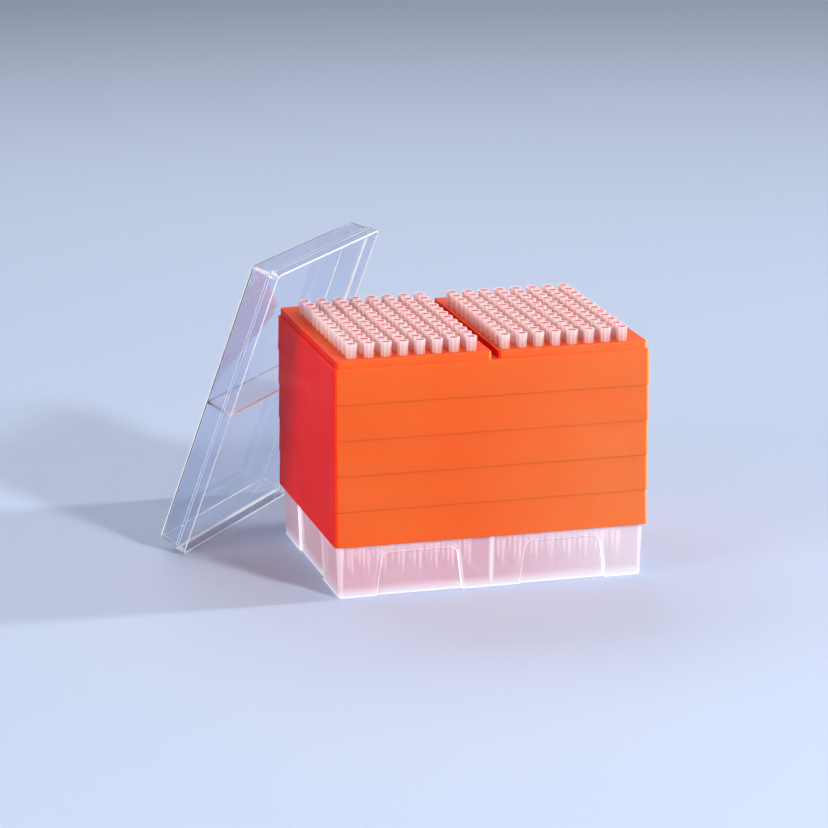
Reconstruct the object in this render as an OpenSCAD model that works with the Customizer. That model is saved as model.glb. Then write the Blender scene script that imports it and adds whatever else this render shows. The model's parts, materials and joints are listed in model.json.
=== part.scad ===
// A stack of refill racks of pipette tips on its base box, with the lid taken off and leaned on it.
// Millimetres and degrees. The origin is the middle of the base's underside. +X runs along the
// stack's long side to the right, +Y from the front to the back, +Z up.

/* [Tip grid] */
// Distance between neighbouring tips, the grid that multichannel pipettes share
tip_pitch = 9; // [8:0.1:12]
// Columns of tips in each half of a rack
tip_columns = 8; // [6:1:12]
// Rows of tips from the front to the back of a rack
tip_rows = 12; // [8:1:16]

/* [Tip] */
// Height of a tip's collar above the deck
collar_h = 7.6; // [6:0.1:10]
// Length of the slim body below the deck
body_l = 39.4; // [34:0.1:46]
// Length of the fine end, below the bend in the body's taper
fine_l = 20; // [14:0.5:26]
// Outer radius of the collar at its rim
rim_r = 3.2; // [3.1:0.05:3.6]
// Outer radius of the body just under the deck
body_r = 2.4; // [2.2:0.05:2.5]
// Outer radius of the body at the bend in its taper
bend_r = 1.55; // [1.3:0.05:1.7]
// Outer radius of the tip's end
end_r = 0.5; // [0.45:0.05:0.7]
// Radius of the mouth, which the pipette's cone is pushed into
mouth_r = 2.7; // [2.5:0.05:2.8]
// Depth of the straight part of the mouth
mouth_l = 1.6; // [1:0.1:3]
// Wall of the slim body
tip_wall = 0.45; // [0.3:0.05:0.5]
// Wall at the tip's end
end_wall = 0.2; // [0.15:0.05:0.3]
// Overhang of the collar's foot on the deck around its hole
shoulder_ledge = 0.2; // [0.15:0.05:0.4]
// Side clearance of a tip's body in its hole
hole_gap = 0.15; // [0.1:0.05:0.25]

/* [Rack] */
// Deck from its left edge to the first column of tips
margin_left = 9.25; // [7:0.05:14]
// Deck from the last column of tips to its right edge
margin_right = 12.45; // [7:0.05:16]
// Deck from its front edge to the first row of tips
margin_front = 5.2; // [5:0.05:14]
// Deck from the last row of tips to its back edge
margin_back = 19.6; // [7:0.05:24]
// Height of the two raised decks above the ledge around them
deck_h = 4.3; // [3:0.1:6]
// Width of the channel between the two decks
channel_w = 3.8; // [3:0.1:4.6]
// Distance of the channel to the right of the rack's middle
channel_shift = 1; // [0:0.1:1.4]
// Height of a rack's skirt, which is the step from one rack to the next
skirt_h = 18.8; // [16:0.2:24]
// How far the skirt leans in on each side from its foot to the ledge
skirt_lean = 0.45; // [0.2:0.05:0.6]
// Wall of a rack
rack_wall = 1.2; // [1:0.05:1.4]
// Radius of the skirt's upright corners at its foot
skirt_corner_r = 2.2; // [2:0.1:5]
// Side clearance between a skirt, or the lid, and the deck that it drops over
nest_gap = 0.25; // [0.1:0.05:0.4]
// Extra rounding of a deck's corners inside the skirt or lid that drops over them
corner_relief = 0.2; // [0.1:0.1:1]

/* [Base] */
// Clear height from the base's floor to the ends of the lowest tips
under_tips = 9.9; // [6:0.1:20]
// How far the base's wall stands in from the skirt's foot above it
base_inset = 1.7; // [1.6:0.05:2.2]
// How far the base's wall leans in on each side from the skirt's foot to the bench
base_lean = 1.1; // [0.4:0.05:2]
// Wall of the base
base_wall = 1.6; // [1.2:0.05:1.8]
// Floor of the base
base_floor = 1.8; // [1.2:0.1:3]
// How far the base's leaning wall reaches up inside the lowest skirt
base_overlap = 1.5; // [1:0.1:4]
// Side clearance between the base's upper rim and the inside of the lowest skirt
rim_gap = 0.3; // [0.2:0.05:0.4]
// Radius of the base's upright corners at its foot
base_corner_r = 2; // [1.9:0.1:4]
// Thickness of the partition under the racks' channel
partition_t = 2; // [1.4:0.1:3]
// Distance of the partition to the left of the channel's middle
partition_shift = 1.3; // [0:0.1:1.6]
// Depth of the panels set back in the base's walls
panel_depth = 1.2; // [0.6:0.05:1.4]
// Foot of an arched panel, from the partition's middle to its nearer leg
arch_near = 15.5; // [10:0.5:18]
// Foot of an arched panel, from its farther leg to the base's side
arch_far = 20; // [14:0.5:24]
// How far each leg of an arched panel leans in from its foot to its top
arch_leg_lean = 3; // [1:0.5:5]
// Distance of the arched panels' tops below the skirt's foot
arch_drop = 4.5; // [3:0.5:8]
// Radius of the arched panels' upper corners
arch_corner_r = 4; // [2:0.5:5]
// Distance from each end of the base's short side to the panel in it
side_post = 34.5; // [20:0.5:40]

/* [Lid] */
// Clear height between the lid and the tips' rims when it is on
lid_headroom = 3.8; // [2:0.1:12]
// Clear height between the deck and the step inside the lid's rim band
band_headroom = 0.5; // [0.3:0.1:2]
// Step from the lid's rim band in to its wall
lid_step = 1.1; // [0.8:0.05:1.3]
// How far the lid's wall leans in from the rim band to the closed face
lid_wall_lean = 1; // [0.5:0.05:1.1]
// Wall of the lid
lid_wall = 1.2; // [1:0.05:1.4]
// Radius of the lid's upright corners at its rim
lid_corner_r = 3; // [3:0.1:5]
// Bevel around the closed face
lid_bevel = 0.8; // [0.4:0.1:0.9]
// Thickness of the cross rib that drops into the channel
lid_rib_t = 1.6; // [1.2:0.1:2]
// How far the cross rib stops short of the rim
lid_rib_short = 0.3; // [0.2:0.1:3]
// Radius of the moulding gate's mark in the middle of the closed face
gate_r = 1.6; // [1:0.1:3]
// Height of the moulding gate's mark
gate_h = 0.3; // [0.2:0.1:0.6]

/* [Lid's place] */
// Lean of the lid from upright
lid_lean = 20.3; // [17:0.1:24]
// Turn of the lid's foot away from the stack's short side
lid_turn = 39; // [35:0.5:43]
// Distance along the lid's foot from its near corner to the stack's corner
lid_slide = 58.6; // [50:0.2:66]
// Gap between the lid and the corner that it leans on
lid_gap = 0.15; // [0.1:0.05:0.4]

/* [Hidden] */
$fn = 48;
cut = 1;                                  // how far a cut runs past the face that it opens
top_level = 5;                            // racks are numbered from 1, the lowest

// Tip grid. The channel takes the place of one column, so the grid carries on across it.
array_w = 2 * tip_columns * tip_pitch;
array_d = (tip_rows - 1) * tip_pitch;
half_w = (tip_columns - 1) * tip_pitch;
deck_w = margin_left + array_w + margin_right;
deck_d = margin_front + array_d + margin_back;
left_x = -deck_w / 2 + margin_left;
right_x = deck_w / 2 - margin_right - half_w;
front_y = -deck_d / 2 + margin_front;

// Rack
hole_r = body_r + hole_gap;
shoulder_r = hole_r + shoulder_ledge;
skirt_edge = nest_gap + rack_wall;        // from a deck's side out to the skirt's foot
skirt_w = deck_w + 2 * skirt_edge;
skirt_d = deck_d + 2 * skirt_edge;
deck_z = skirt_h + deck_h;                // a rack's deck above the foot of its own skirt
deck_corner_r = max(skirt_corner_r, lid_corner_r) - skirt_edge + corner_relief;

// Base. skirt_foot_z is where the lowest skirt ends.
skirt_foot_z = base_floor + under_tips + body_l - deck_z;
foot_w = skirt_w - 2 * (base_inset + base_lean);
foot_d = skirt_d - 2 * (base_inset + base_lean);
base_slope = base_lean / skirt_foot_z;
base_wall_h = skirt_foot_z + base_overlap;
rim_inset = skirt_lean + rack_wall + rim_gap;
rim_hx = skirt_w / 2 - rim_inset;
rim_hy = skirt_d / 2 - rim_inset;
rim_z = skirt_foot_z + skirt_h - rack_wall;
bend_z = (rim_hx - foot_w / 2) / base_slope;
rim_corner_r = base_corner_r + base_slope * bend_z;
partition_x = channel_shift - partition_shift;
arch_h = skirt_foot_z - arch_drop;
side_panel_h = skirt_foot_z + base_overlap / 2;

// Lid, as it lies on the rack, with its rim at z = 0.
lid_w = deck_w + 2 * (nest_gap + lid_wall);
lid_d = deck_d + 2 * (nest_gap + lid_wall);
lid_band_h = deck_h + band_headroom + lid_wall;
lid_h = deck_h + collar_h + lid_headroom + lid_wall;
lid_slope = lid_wall_lean / (lid_h - lid_band_h);
lid_foot_inset = lid_step - lid_slope * lid_band_h;

function rack_z(level) = skirt_foot_z + (level - 1) * skirt_h;

// The lid leans along push, and its foot runs along foot_line.
push = [cos(lid_turn), -sin(lid_turn)];
foot_line = [sin(lid_turn), cos(lid_turn)];
// How far the back left corner of a plan with half sizes hx, hy and radius r reaches against push
function corner_reach(hx, hy, r) = (hx - r) * push[0] - (hy - r) * push[1] + r;
// Cross rib on a skirt's corner: the height of the touch, and the lid's foot from the corner there
rib_top = lid_w / 2 + channel_shift + lid_rib_t / 2;
rib_edge = lid_rib_short - lid_gap;
touch_z = rib_top * cos(lid_lean) + rib_edge * sin(lid_lean);
touch_step = (touch_z - skirt_foot_z) / skirt_h;
touch_inset = skirt_lean * (touch_step - floor(touch_step));
rib_foot = corner_reach(skirt_w / 2 - touch_inset, skirt_d / 2 - touch_inset, skirt_corner_r - touch_inset)
    + rib_top * sin(lid_lean) - rib_edge * cos(lid_lean);
// Closed face on the uppermost deck's corner
face_depth = lid_h - lid_wall - lid_gap;
face_foot = corner_reach(deck_w / 2, deck_d / 2, deck_corner_r)
    + ((rack_z(top_level) + deck_z) * sin(lid_lean) - face_depth) / cos(lid_lean);
lid_foot = max(rib_foot, face_foot);
corner_centre = [skirt_corner_r - skirt_w / 2, skirt_d / 2 - skirt_corner_r];
lid_along = corner_centre * foot_line - lid_slide;

// Plan with half sizes hx, hy and round corners.
module rounded_plan(hx, hy, r) {
    square([2 * hx, 2 * (hy - r)], center = true);
    square([2 * (hx - r), 2 * hy], center = true);
    for (sx = [-1, 1], sy = [-1, 1])
        translate([sx * (hx - r), sy * (hy - r)])
            circle(r);
}

// Block of height h with half sizes hx, hy at its foot, whose four sides lean in by lean.
module leaning_block(hx, hy, r, h, lean) {
    rotate([90, 0, 0])
        linear_extrude(2 * (hy - r), center = true)
            polygon([[-hx, 0], [hx, 0], [hx - lean, h], [lean - hx, h]]);
    rotate([90, 0, 90])
        linear_extrude(2 * (hx - r), center = true)
            polygon([[-hy, 0], [hy, 0], [hy - lean, h], [lean - hy, h]]);
    for (sx = [-1, 1], sy = [-1, 1])
        translate([sx * (hx - r), sy * (hy - r), 0])
            cylinder(h, r1 = r, r2 = r - lean);
}

// One tip, its shoulder at z = 0.
module tip() {
    rotate_extrude()
        polygon([
            [end_r, -body_l],
            [bend_r, fine_l - body_l],
            [body_r, 0],
            [shoulder_r, 0],
            [rim_r, collar_h],
            [mouth_r, collar_h],
            [mouth_r, collar_h - mouth_l],
            [body_r - tip_wall, 0],
            [bend_r - tip_wall, fine_l - body_l],
            [end_r - end_wall, -body_l],
        ]);
}

// Puts a copy at each place of the half grid that starts at start_x.
module over_grid(start_x) {
    for (column = [0 : tip_columns - 1], row = [0 : tip_rows - 1])
        translate([start_x + column * tip_pitch, front_y + row * tip_pitch, 0])
            children();
}

// Plan of the deck from x0 to x1, drawn in by inset.
module deck_plan(x0, x1, inset) {
    translate([(x0 + x1) / 2, 0])
        rounded_plan((x1 - x0) / 2 - inset, deck_d / 2 - inset, max(deck_corner_r - inset, 0.4));
}

module both_decks(inset) {
    deck_plan(-deck_w / 2, channel_shift - channel_w / 2, inset);
    deck_plan(channel_shift + channel_w / 2, deck_w / 2, inset);
}

module rack(level) {
    color("#f26a2e")
        translate([0, 0, rack_z(level)])
            difference() {
                union() {
                    leaning_block(skirt_w / 2, skirt_d / 2, skirt_corner_r, skirt_h, skirt_lean);
                    translate([0, 0, skirt_h - rack_wall])
                        linear_extrude(deck_h + rack_wall)
                            both_decks(0);
                }
                rack_hollow();
                translate([0, 0, skirt_h - 2 * rack_wall])
                    linear_extrude(deck_h + rack_wall)
                        both_decks(rack_wall);
                for (start_x = [left_x, right_x])
                    over_grid(start_x)
                        translate([0, 0, skirt_h])
                            cylinder(deck_h + cut, r = hole_r);
            }
}

// Inside of the skirt, cut past its foot, up to the underside of the ledge.
module rack_hollow() {
    slope = skirt_lean / skirt_h;
    translate([0, 0, -cut])
        leaning_block(skirt_w / 2 - rack_wall + slope * cut, skirt_d / 2 - rack_wall + slope * cut,
            skirt_corner_r - rack_wall + slope * cut, skirt_h - rack_wall + cut,
            slope * (skirt_h - rack_wall + cut));
}

module rack_1() { rack(1); }
module rack_2() { rack(2); }
module rack_3() { rack(3); }
module rack_4() { rack(4); }
module rack_5() { rack(5); }

module tips(level, start_x) {
    color("#f6d9d5")
        translate([0, 0, rack_z(level) + deck_z])
            over_grid(start_x)
                tip();
}

module tips_1_left() { tips(1, left_x); }
module tips_1_right() { tips(1, right_x); }
module tips_2_left() { tips(2, left_x); }
module tips_2_right() { tips(2, right_x); }
module tips_3_left() { tips(3, left_x); }
module tips_3_right() { tips(3, right_x); }
module tips_4_left() { tips(4, left_x); }
module tips_4_right() { tips(4, right_x); }
module tips_5_left() { tips(5, left_x); }
module tips_5_right() { tips(5, right_x); }

// Outline of an arched panel, open at its foot. grow widens it all round.
module arch(half_foot, grow) {
    leg_slope = arch_leg_lean / arch_h;
    angle = atan(leg_slope);
    r = arch_corner_r + grow;
    top = arch_h + grow;
    cz = top - r;
    cx = half_foot + grow - leg_slope * cz - r / cos(angle);
    foot = half_foot + grow + leg_slope * cut;
    side = cx + r * cos(angle);
    shoulder = cz + r * sin(angle);
    polygon([[-foot, -cut], [foot, -cut], [side, shoulder], [cx, top], [-cx, top], [-side, shoulder]]);
    for (s = [-1, 1])
        translate([s * cx, cz])
            circle(r);
}

// The panels set back in the base's walls, as solids from depth y0 to y1 in their wall. grow widens them.
module base_panels(y0, y1, grow) {
    left_span = [arch_far - foot_w / 2, partition_x - arch_near];
    right_span = [partition_x + arch_near, foot_w / 2 - arch_far];
    for (turn = [0, 180], span = [left_span, right_span])
        rotate([0, 0, turn])
            translate([cos(turn) * (span[0] + span[1]) / 2, -foot_d / 2, 0])
                rotate([atan(base_slope), 0, 0])
                    translate([0, y1, 0])
                        rotate([90, 0, 0])
                            linear_extrude(y1 - y0)
                                arch((span[1] - span[0]) / 2, grow);
    half = foot_d / 2 - side_post + grow;
    for (turn = [-90, 90])
        rotate([0, 0, turn])
            translate([0, -foot_w / 2, 0])
                rotate([atan(base_slope), 0, 0])
                    translate([-half, y0, -cut])
                        cube([2 * half, y1 - y0, side_panel_h + grow + cut]);
}

// The base's floor, wall and upper rim. Inside, the wall turns upright at bend_z.
module base_shell() {
    difference() {
        union() {
            leaning_block(foot_w / 2, foot_d / 2, base_corner_r, base_wall_h, -base_slope * base_wall_h);
            translate([0, 0, base_wall_h])
                linear_extrude(rim_z - base_wall_h)
                    rounded_plan(rim_hx, rim_hy, rim_corner_r);
        }
        translate([0, 0, base_floor])
            leaning_block(foot_w / 2 - base_wall + base_slope * base_floor,
                foot_d / 2 - base_wall + base_slope * base_floor,
                base_corner_r - base_wall + base_slope * base_floor,
                bend_z - base_floor, -base_slope * (bend_z - base_floor));
        translate([0, 0, bend_z])
            linear_extrude(rim_z - bend_z + cut)
                rounded_plan(rim_hx - base_wall, rim_hy - base_wall, rim_corner_r - base_wall);
    }
}

// The wall across the base. Its ends are sunk half way into the outer wall.
module partition() {
    foot_y = foot_d / 2 - base_wall / 2;
    rim_y = rim_hy - base_wall / 2;
    translate([partition_x, 0, 0])
        rotate([90, 0, 90])
            linear_extrude(partition_t, center = true)
                polygon([
                    [-foot_y, base_floor / 2],
                    [foot_y, base_floor / 2],
                    [rim_y, rim_z],
                    [-rim_y, rim_z],
                ]);
}

module base() {
    color("#eee6ee", 0.75)
        difference() {
            union() {
                base_shell();
                partition();
                difference() {
                    base_panels(base_wall / 2, panel_depth + base_wall, base_wall);
                    translate([-foot_w, -foot_d, -2 * cut])
                        cube([2 * foot_w, 2 * foot_d, base_floor / 2 + 2 * cut]);
                }
            }
            base_panels(-cut, panel_depth, 0);
        }
}

// The lid as it lies on a rack, rim down.
module lid_shape() {
    difference() {
        union() {
            linear_extrude(lid_band_h)
                rounded_plan(lid_w / 2, lid_d / 2, lid_corner_r);
            leaning_block(lid_w / 2 - lid_foot_inset, lid_d / 2 - lid_foot_inset, lid_corner_r,
                lid_h - lid_bevel, lid_slope * (lid_h - lid_bevel));
            bevel_inset = lid_foot_inset + lid_slope * (lid_h - lid_bevel);
            translate([0, 0, lid_h - lid_bevel])
                leaning_block(lid_w / 2 - bevel_inset, lid_d / 2 - bevel_inset,
                    lid_corner_r - bevel_inset + lid_foot_inset, lid_bevel, lid_bevel);
            cylinder(lid_h + gate_h, r = gate_r);
        }
        difference() {
            union() {
                translate([0, 0, -cut])
                    linear_extrude(lid_band_h - lid_wall + cut)
                        rounded_plan(lid_w / 2 - lid_wall, lid_d / 2 - lid_wall, lid_corner_r - lid_wall);
                leaning_block(lid_w / 2 - lid_foot_inset - lid_wall, lid_d / 2 - lid_foot_inset - lid_wall,
                    lid_corner_r - lid_wall, lid_h - lid_wall, lid_slope * (lid_h - lid_wall));
            }
            translate([channel_shift - lid_rib_t / 2, -lid_d, lid_rib_short])
                cube([lid_rib_t, 2 * lid_d, lid_h]);
        }
    }
}

// The lid stands on the rim of its short side, its hollow to the stack.
module lid() {
    place = foot_line * lid_along - push * lid_foot;
    color("#cfd6f2", 0.4)
        translate([place[0], place[1], 0])
            rotate([0, 0, -lid_turn])
                rotate([0, lid_lean - 90, 0])
                    translate([lid_w / 2, lid_d / 2, 0])
                        lid_shape();
}

base();
rack_1();
rack_2();
rack_3();
rack_4();
rack_5();
lid();
tips_1_left();
tips_1_right();
tips_2_left();
tips_2_right();
tips_3_left();
tips_3_right();
tips_4_left();
tips_4_right();
tips_5_left();
tips_5_right();
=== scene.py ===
# %% [markdown]
# # A refill stack of pipette tips
# This lesson dresses a finished CAD model of a box of pipette tips: a frosted base box, five
# orange refill racks that nest on it, the loose tips in them, and the clear lid that leans on the
# stack. The CAD gives the places and the main sizes, and it is loaded first as a fixed frame.
# Blender adds what a moulding shop would call the finish: rounded edges, ribbed collars and the
# plastics themselves.

# %% Load the frame
import json
import math

import bmesh
import bpy
from mathutils import Matrix, Vector


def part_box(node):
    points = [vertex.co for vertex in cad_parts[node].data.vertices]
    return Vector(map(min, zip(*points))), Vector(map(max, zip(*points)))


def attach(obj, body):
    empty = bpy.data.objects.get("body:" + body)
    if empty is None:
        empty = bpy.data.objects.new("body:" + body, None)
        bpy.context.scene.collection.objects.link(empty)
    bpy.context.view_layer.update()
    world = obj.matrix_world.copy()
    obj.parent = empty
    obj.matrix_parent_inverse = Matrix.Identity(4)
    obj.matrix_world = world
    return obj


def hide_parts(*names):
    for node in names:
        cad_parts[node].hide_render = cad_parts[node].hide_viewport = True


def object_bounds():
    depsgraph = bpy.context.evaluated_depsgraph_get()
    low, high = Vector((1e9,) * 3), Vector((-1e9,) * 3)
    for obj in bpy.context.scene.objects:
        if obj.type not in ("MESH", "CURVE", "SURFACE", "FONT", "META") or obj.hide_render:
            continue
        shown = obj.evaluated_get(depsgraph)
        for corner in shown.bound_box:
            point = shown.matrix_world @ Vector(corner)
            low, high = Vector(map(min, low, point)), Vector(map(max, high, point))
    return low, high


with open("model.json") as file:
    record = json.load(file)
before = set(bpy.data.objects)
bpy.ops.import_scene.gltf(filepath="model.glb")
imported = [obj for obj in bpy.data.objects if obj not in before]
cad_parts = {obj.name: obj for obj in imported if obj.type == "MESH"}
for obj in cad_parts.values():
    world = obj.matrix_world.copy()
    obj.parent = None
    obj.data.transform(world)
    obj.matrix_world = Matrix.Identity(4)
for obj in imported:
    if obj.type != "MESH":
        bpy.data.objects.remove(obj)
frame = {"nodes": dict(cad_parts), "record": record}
nodes = frame["nodes"]
cad_box = [list(corner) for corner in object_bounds()]
MM = 0.001
mounts = {m["name"]: Vector(m["pos_m"]) for m in frame["record"]["mounts"]}
print("nodes:", len(nodes), "CAD box in metres:", cad_box)

# %% [markdown]
# ## Colours
# Colours are easiest to think of as the 0 to 255 numbers of a paint program, but shaders work in
# linear light. This helper turns one into the other, so every colour below reads as it will show.

# %% Colour helper
def srgb(red, green, blue):
    """A colour from its 8-bit values, in the linear light that shaders use."""
    def linear(value):
        value /= 255
        return value / 12.92 if value <= 0.04045 else ((value + 0.055) / 1.055) ** 2.4
    return (linear(red), linear(green), linear(blue), 1)


print("mid grey is", round(srgb(128, 128, 128)[0], 3), "in linear light")

# %% [markdown]
# ## Node helpers
# Materials and Geometry Nodes are both trees of nodes. A tree is easier to read in code when a
# node's sockets are set in one line, so one helper adds a node, sets its properties and wires
# what it is given. A second one does the same for the Math node, which both kinds of tree share.

# %% Node helpers
def add(tree, kind, props=None, **wires):
    """A node with its properties set and its sockets wired or given a value. Returns its outputs.

    From_Min names the socket From Min, and i6 means socket number 6, for nodes that have several
    sockets of one name.
    """
    node = tree.nodes.new(kind)
    for prop, value in (props or {}).items():
        setattr(node, prop, value)
    for label, value in wires.items():
        numbered = label[0] == "i" and label[1:].isdigit()
        socket = node.inputs[int(label[1:]) if numbered else label.replace("_", " ")]
        if isinstance(value, bpy.types.NodeSocket):
            tree.links.new(value, socket)
        else:
            socket.default_value = value
    return node.outputs


def combine(tree, operation, first, second):
    """One Math node over two values, either of them a socket or a number."""
    return add(tree, "ShaderNodeMath", {"operation": operation}, i0=first, i1=second)["Value"]


print("node helpers ready")

# %% [markdown]
# ## Shader helpers
# Every plastic here is one Principled shader with a few procedural nodes in front of it. Three
# things recur: a noise on Object coordinates, which keeps its scale in metres; a colour ramp,
# which turns the noise into a small drift of colour or gloss; and a bump, which gives the fine
# grain of the mould. Making them in helpers keeps each plastic's own cell short.

# %% A plastic's shader
def plastic(name, sockets):
    """A new material with its Principled shader's own sockets set. Returns it, tree and shader."""
    material = bpy.data.materials.new(name)
    material.use_nodes = True
    shader = material.node_tree.nodes["Principled BSDF"]
    for socket, value in sockets.items():
        shader.inputs[socket].default_value = value
    return material, material.node_tree, shader


def bump(tree, shader, height, distance, strength=1.0):
    """Grain on the surface, distance in metres."""
    grain = add(tree, "ShaderNodeBump", Height=height, Distance=distance, Strength=strength)
    tree.links.new(grain["Normal"], shader.inputs["Normal"])


print("shader helpers ready")

# %% Noise, ramps and drifts
DRIFT = (0.3, 0.7)


def noise(tree, scale, detail):
    """A noise over Object coordinates, scale in waves a metre."""
    place = add(tree, "ShaderNodeTexCoord")["Object"]
    return add(tree, "ShaderNodeTexNoise", Vector=place, Scale=scale, Detail=detail)["Fac"]


def ramp(tree, value, stops):
    """A colour ramp over value, stops being (position, colour)."""
    node = tree.nodes.new("ShaderNodeValToRGB")
    elements = node.color_ramp.elements
    while len(elements) < len(stops):
        elements.new(0.5)
    for element, (position, colour) in zip(elements, stops):
        element.position = position
        element.color = colour
    tree.links.new(value, node.inputs["Fac"])
    return node.outputs["Color"]


def drift(tree, scale, detail, *colours):
    """A slow drift between two 8-bit colours, which follows a noise."""
    stops = [(position, srgb(*colour)) for position, colour in zip(DRIFT, colours)]
    return ramp(tree, noise(tree, scale, detail), stops)


def map_range(tree, value, low, high):
    """Value from 0..1 to low..high."""
    return add(tree, "ShaderNodeMapRange", Value=value, To_Min=low, To_Max=high)["Result"]


print("drifts run between", DRIFT[0], "and", DRIFT[1], "of the noise")

# %% [markdown]
# ## Where a finish changes
# A moulding isn't the same all over: its edges are whiter, and its colour shifts from one end to
# the other. Where such a change follows the shape, the mesh stores a number on each of its faces
# or points, and the material reads this attribute. Where it follows the place, the material reads
# one axis of the Object coordinates and fades along it. Either number then mixes two colours.

# %% Helpers that place a finish
def attribute(tree, name):
    """A number that the mesh stores for this material."""
    return add(tree, "ShaderNodeAttribute", {"attribute_name": name})["Fac"]


def coordinate(tree, axis):
    """One axis of the place on the object, in metres."""
    place = add(tree, "ShaderNodeTexCoord")["Object"]
    return add(tree, "ShaderNodeSeparateXYZ", Vector=place)[axis]


def fade(tree, value, near, far):
    """1 where value is at near, falling to 0 at far."""
    return add(tree, "ShaderNodeMapRange", {"interpolation_type": "SMOOTHSTEP"}, Value=value,
               From_Min=near, From_Max=far, To_Min=1.0, To_Max=0.0)["Result"]


def mix_by(tree, share, first, second):
    """First colour where share is 0, second where it is 1."""
    return add(tree, "ShaderNodeMix", {"data_type": "RGBA"}, Factor=share, i6=first, i7=second)[2]


print("helpers that place a finish ready")

# %% [markdown]
# ## Mesh helpers
# The moulded pieces are all made of closed rings with round corners, one above the other, joined
# by strips of faces. That is lofting, and it gives clean quads that follow the shape. A sharp
# corner of the profile gets a small arc of rings, because no moulded edge is perfectly sharp, and
# it is that arc which catches the light.

# %% Rings with round corners
CORNER_STEPS = 6


def ring(half_x, half_y, radius, z, middle_x=0.0):
    """Points of a rectangle with round corners, counter-clockwise seen from above."""
    points = []
    for sx, sy, start in ((1, 1, 0), (-1, 1, 90), (-1, -1, 180), (1, -1, 270)):
        for step in range(CORNER_STEPS + 1):
            angle = math.radians(start + 90 * step / CORNER_STEPS)
            points.append((middle_x + sx * (half_x - radius) + radius * math.cos(angle),
                           sy * (half_y - radius) + radius * math.sin(angle), z))
    return points


print("points in a ring:", len(ring(1, 1, 0.1, 0)))

# %% Soft corners of a profile
EDGE_STEPS = 2
ALMOST_STRAIGHT = math.radians(85)
ARC_REACH = 0.45


def soften(profile, edge):
    """Replaces each inner corner of a profile of (inset, z) by an arc of radius edge.

    A corner whose half angle is almost straight stays, and no arc takes more than ARC_REACH of
    the line on either side of it.
    """
    out = [profile[0]]
    for before, here, after in zip(profile, profile[1:], profile[2:]):
        p, q, r = (Vector(point) for point in (before, here, after))
        back, ahead = (p - q).normalized(), (r - q).normalized()
        half = back.angle(ahead) / 2
        if half > ALMOST_STRAIGHT:
            out.append(here)
            continue
        cut = min(edge / math.tan(half), (p - q).length * ARC_REACH, (r - q).length * ARC_REACH)
        start, end = q + back * cut, q + ahead * cut
        centre = q + (back + ahead).normalized() * (cut / math.cos(half))
        for step in range(EDGE_STEPS + 1):
            share = step / EDGE_STEPS
            spoke = (start - centre).lerp(end - centre, share).normalized()
            out.append(tuple(centre + spoke * (start - centre).length))
    out.append(profile[-1])
    return out


print("corner arcs have", CORNER_STEPS, "steps, edge arcs", EDGE_STEPS)

# %% Lofts and objects
def loft(bm, rings):
    """Joins rings of equal length by strips of faces. Returns the points of the two end rings."""
    rows = [[bm.verts.new(point) for point in points] for points in rings]
    for low, high in zip(rows, rows[1:]):
        for i in range(len(low)):
            j = (i + 1) % len(low)
            bm.faces.new((low[i], low[j], high[j], high[i]))
    return rows[0], rows[-1]


def as_object(name, data):
    """An object at the origin, in the scene, for a mesh, a lamp or a camera."""
    item = bpy.data.objects.new(name, data)
    bpy.context.scene.collection.objects.link(item)
    return item


def new_piece(bm, name):
    """The finished mesh as an object at the origin."""
    mesh = bpy.data.meshes.new(name)
    bm.to_mesh(mesh)
    bm.free()
    return as_object(name, mesh)


def open_edges(bm):
    """How many edges don't join exactly two faces. A closed mesh has none."""
    return sum(not edge.is_manifold for edge in bm.edges)


print("mesh helpers ready")

# %% [markdown]
# ## Geometry Nodes helpers
# What repeats, the racks' holes and the tips, is set out by Geometry Nodes. Each tree has named
# inputs, and they are set on the modifier by the socket's identifier, before the object is
# evaluated. Both trees start from the same grid of points, so it has a helper of its own.

# %% Geometry Nodes helpers
GRID_INPUTS = [("Columns", "NodeSocketInt", 8), ("Rows", "NodeSocketInt", 12),
               ("Pitch", "NodeSocketFloat", 0.009)]


def node_tree(name, inputs):
    """An empty geometry tree with a geometry input and the given (name, type, default) inputs."""
    tree = bpy.data.node_groups.new(name, "GeometryNodeTree")
    tree.interface.new_socket("Geometry", in_out="INPUT", socket_type="NodeSocketGeometry")
    for label, kind, value in inputs:
        socket = tree.interface.new_socket(label, in_out="INPUT", socket_type=kind)
        if value is not None:
            socket.default_value = value
    tree.interface.new_socket("Geometry", in_out="OUTPUT", socket_type="NodeSocketGeometry")
    return tree, tree.nodes.new("NodeGroupInput").outputs, tree.nodes.new("NodeGroupOutput")


def grid(tree, given):
    """Points of the grid that the tree's first inputs ask for, its middle at the origin."""
    sizes = []
    for count in ("Columns", "Rows"):
        gaps = combine(tree, "SUBTRACT", given[count], 1.0)
        sizes.append(combine(tree, "MULTIPLY", gaps, given["Pitch"]))
    return add(tree, "GeometryNodeMeshGrid", Size_X=sizes[0], Size_Y=sizes[1],
               Vertices_X=given["Columns"], Vertices_Y=given["Rows"])["Mesh"]


def grow(piece, tree, values, name):
    """Runs a tree on a piece and returns the result as a plain mesh object."""
    modifier = piece.modifiers.new(tree.name, "NODES")
    modifier.node_group = tree
    for item in tree.interface.items_tree:
        if item.in_out == "INPUT" and item.name in values:
            modifier[item.identifier] = values[item.name]
    bpy.context.view_layer.update()
    graph = bpy.context.evaluated_depsgraph_get()
    mesh = bpy.data.meshes.new_from_object(piece.evaluated_get(graph))
    mesh.name = name
    piece.modifiers.remove(modifier)
    grown = as_object(name, mesh)
    bpy.data.objects.remove(piece)
    return grown


print("geometry helpers ready")

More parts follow.
